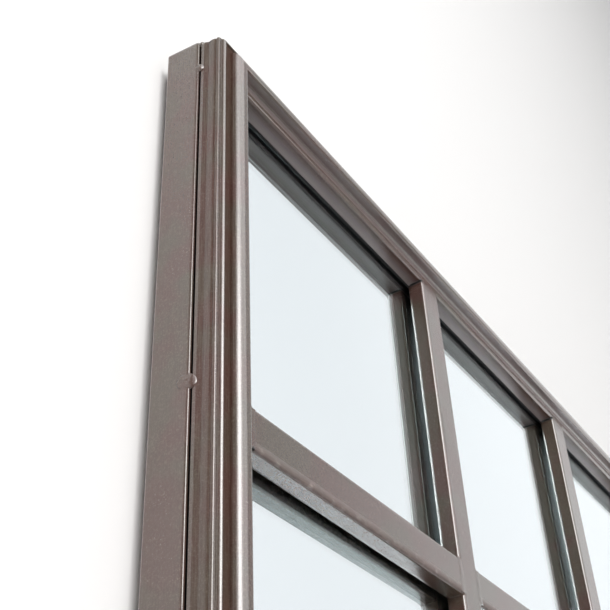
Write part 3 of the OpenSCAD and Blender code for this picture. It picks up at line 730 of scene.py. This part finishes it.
joints = []
for r in ROWS:
    for c in COLUMNS:
        low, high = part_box(f"cross_bar_row{r}_{c}")
        at = (low.z + high.z) / 2 / MM
        joints += [(low.x / MM, at, (1, 0)), (high.x / MM, at, (-1, 0))]
for c in UPRIGHTS:
    low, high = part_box(f"vertical_bar_{c}")
    at = (low.x + high.x) / 2 / MM
    joints += [(at, low.z / MM, (0, 1)), (at, high.z / MM, (0, -1))]
FIRST_FILLETS, FILLET_SIZES, FILLET_SEED, BUTT_SEED = (0.5, 2.6), (0.6, 1.3), 600, 700
fillets = []
for i, joint in enumerate(joints):
    sizes = FIRST_FILLETS if i == 0 else np.random.default_rng(FILLET_SEED + i).uniform(*FILLET_SIZES, 2)
    fillets += [corner_fillet(side, size, joint) for side, size in zip((-1, 1), sizes)]
    fillets.append(butt_strip(joint, BUTT_SEED + i))
build("bar_weld_fillets", fillets, plain_paint, ["bar_welds"], sharp=30)


# The mirror: one sheet of float glass on foam tape, silvered on its back, that rubber blocks hold
# in the middle of the rear frame. The silver is sunk a hair into the glass, because it wets it.
SHARP_FROM, BEVEL_STEPS = 38, 2


def softened(name, node, width, material):
    """A copy of a node's solid, its doubles merged and its sharp edges rounded over by this width
    in millimetres."""
    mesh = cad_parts[node].data.copy()
    mesh.name = name
    if "custom_normal" in mesh.attributes:
        mesh.attributes.remove(mesh.attributes["custom_normal"])
    solid = bmesh.new()
    solid.from_mesh(mesh)
    bmesh.ops.remove_doubles(solid, verts=solid.verts, dist=1e-6)
    bmesh.ops.dissolve_limit(solid, angle_limit=np.radians(1), verts=solid.verts, edges=solid.edges)
    solid.to_mesh(mesh)
    solid.free()
    mesh.materials.clear()
    mesh.materials.append(material)
    mesh.polygons.foreach_set("use_smooth", np.ones(len(mesh.polygons), bool))
    mesh.set_sharp_from_angle(angle=np.radians(SHARP_FROM))
    piece = bpy.data.objects.new(name, mesh)
    bpy.context.scene.collection.objects.link(piece)
    if width:
        bevel = piece.modifiers.new("rounded", "BEVEL")
        bevel.width, bevel.segments = width * MM, BEVEL_STEPS
        bevel.limit_method, bevel.angle_limit = "ANGLE", np.radians(SHARP_FROM)
    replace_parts(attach(piece, "root"), node)
    return piece


GLASS_TINT, SILVER_TINT = (0.955, 0.985, 0.975, 1), (0.75, 0.86, 0.875, 1)
glass_material, start, surface = new_material("float_glass")
sockets = {"Base Color": GLASS_TINT, "Roughness": 0.0, "IOR": 1.52, "Transmission Weight": 1.0}
glass_material.node_tree.links.new(start.add("ShaderNodeBsdfPrincipled", sockets).socket, surface)
softened("glass_sheet", "mirror_glass", 0.0, glass_material)

silver_material, start, surface = new_material("silver_film")
sockets = {"Base Color": SILVER_TINT, "Roughness": 0.0, "Metallic": 1.0}
silver_material.node_tree.links.new(start.add("ShaderNodeBsdfPrincipled", sockets).socket, surface)
silver = softened("silver_film", "silvering", 0.0, silver_material)
WET = 0.05 * MM
points = np.empty(len(silver.data.vertices) * 3)
silver.data.vertices.foreach_get("co", points)
points = points.reshape(-1, 3)
points[:, 1] -= WET * (points[:, 1] < points[:, 1].mean())
points[:, [0, 2]] *= 1 - WET
silver.data.vertices.foreach_set("co", points.ravel())

RUBBER_DARK, RUBBER_PALE, CELLS = (0.010, 0.010, 0.011, 1), (0.028, 0.028, 0.030, 1), (900, 3)
rubber_material, start, surface = new_material("black_rubber")
place = start.add("ShaderNodeTexCoord", output="Object")
cells = place.noise(*CELLS)
colour = cells.blend(RUBBER_DARK, RUBBER_PALE)
bump = start.add("ShaderNodeBump", {"Height": cells, "Strength": 0.6, "Distance": 0.1 * MM})
shader = start.add("ShaderNodeBsdfPrincipled", {"Base Color": colour, "Roughness": 0.75, "Normal": bump})
rubber_material.node_tree.links.new(shader.socket, surface)
softened("foam_tape", "glazing_tape", 0.3, rubber_material)
softened("rubber_blocks", "edge_blocks", 0.4, rubber_material)


# The back: a brown fibreboard over the glass, steel lugs welded in the tubes and screwed to the
# board, and a keyhole plate in each upper corner for the wall screws.
FIBRE_DARK, FIBRE_PALE = (0.115, 0.070, 0.042, 1), (0.215, 0.140, 0.088, 1)
FLECK, STAIN = (0.31, 0.215, 0.14, 1), (0.13, 0.085, 0.055, 1)
FIBRES, FLECKS, STAINS = (520, 4, (1, 1, 3)), (1400, 2, (2, 1, 1)), (9, 2)
board_material, start, surface = new_material("fibreboard")
place = start.add("ShaderNodeTexCoord", output="Object")
fibre, fleck, stain = (place.noise(*kind) for kind in (FIBRES, FLECKS, STAINS))
colour = fibre.ease(0.3, 0.7).blend(FIBRE_DARK, FIBRE_PALE)
colour = colour.tint(fleck.ease(0.60, 0.72) * 0.5, FLECK)
colour = colour.tint(stain.ease(0.4, 0.7) * 0.3, STAIN)
bump = start.add("ShaderNodeBump", {"Height": fibre + fleck * 0.5, "Strength": 0.5, "Distance": 0.15 * MM})
shader = start.add("ShaderNodeBsdfPrincipled", {"Base Color": colour, "Roughness": 0.62, "Normal": bump})
board_material.node_tree.links.new(shader.socket, surface)
softened("fibreboard_back", "backing_board", 0.5, board_material)

softened("bent_lugs", "board_lugs", 0.3, plain_paint)
softened("lug_weld_beads", "lug_welds", 0.25, plain_paint)
softened("corner_weld_beads", "corner_welds", 0.2, plain_paint)
softened("keyhole_plate_left", "hanger_plate_left", 0.3, plain_paint)
softened("keyhole_plate_right", "hanger_plate_right", 0.3, plain_paint)
softened("hanger_weld_beads", "hanger_welds", 0.25, plain_paint)

ZINC_DULL, ZINC_BRIGHT, BLOOM = (0.46, 0.46, 0.45, 1), (0.70, 0.70, 0.66, 1), (700, 3)
zinc_material, start, surface = new_material("zinc_plate")
place = start.add("ShaderNodeTexCoord", output="Object")
bloom = place.noise(*BLOOM)
colour = bloom.blend(ZINC_DULL, ZINC_BRIGHT)
sockets = {"Base Color": colour, "Roughness": 0.28 + bloom * 0.2, "Metallic": 1.0}
zinc_material.node_tree.links.new(start.add("ShaderNodeBsdfPrincipled", sockets).socket, surface)
softened("pan_head_screws", "board_screws", 0.12, zinc_material)
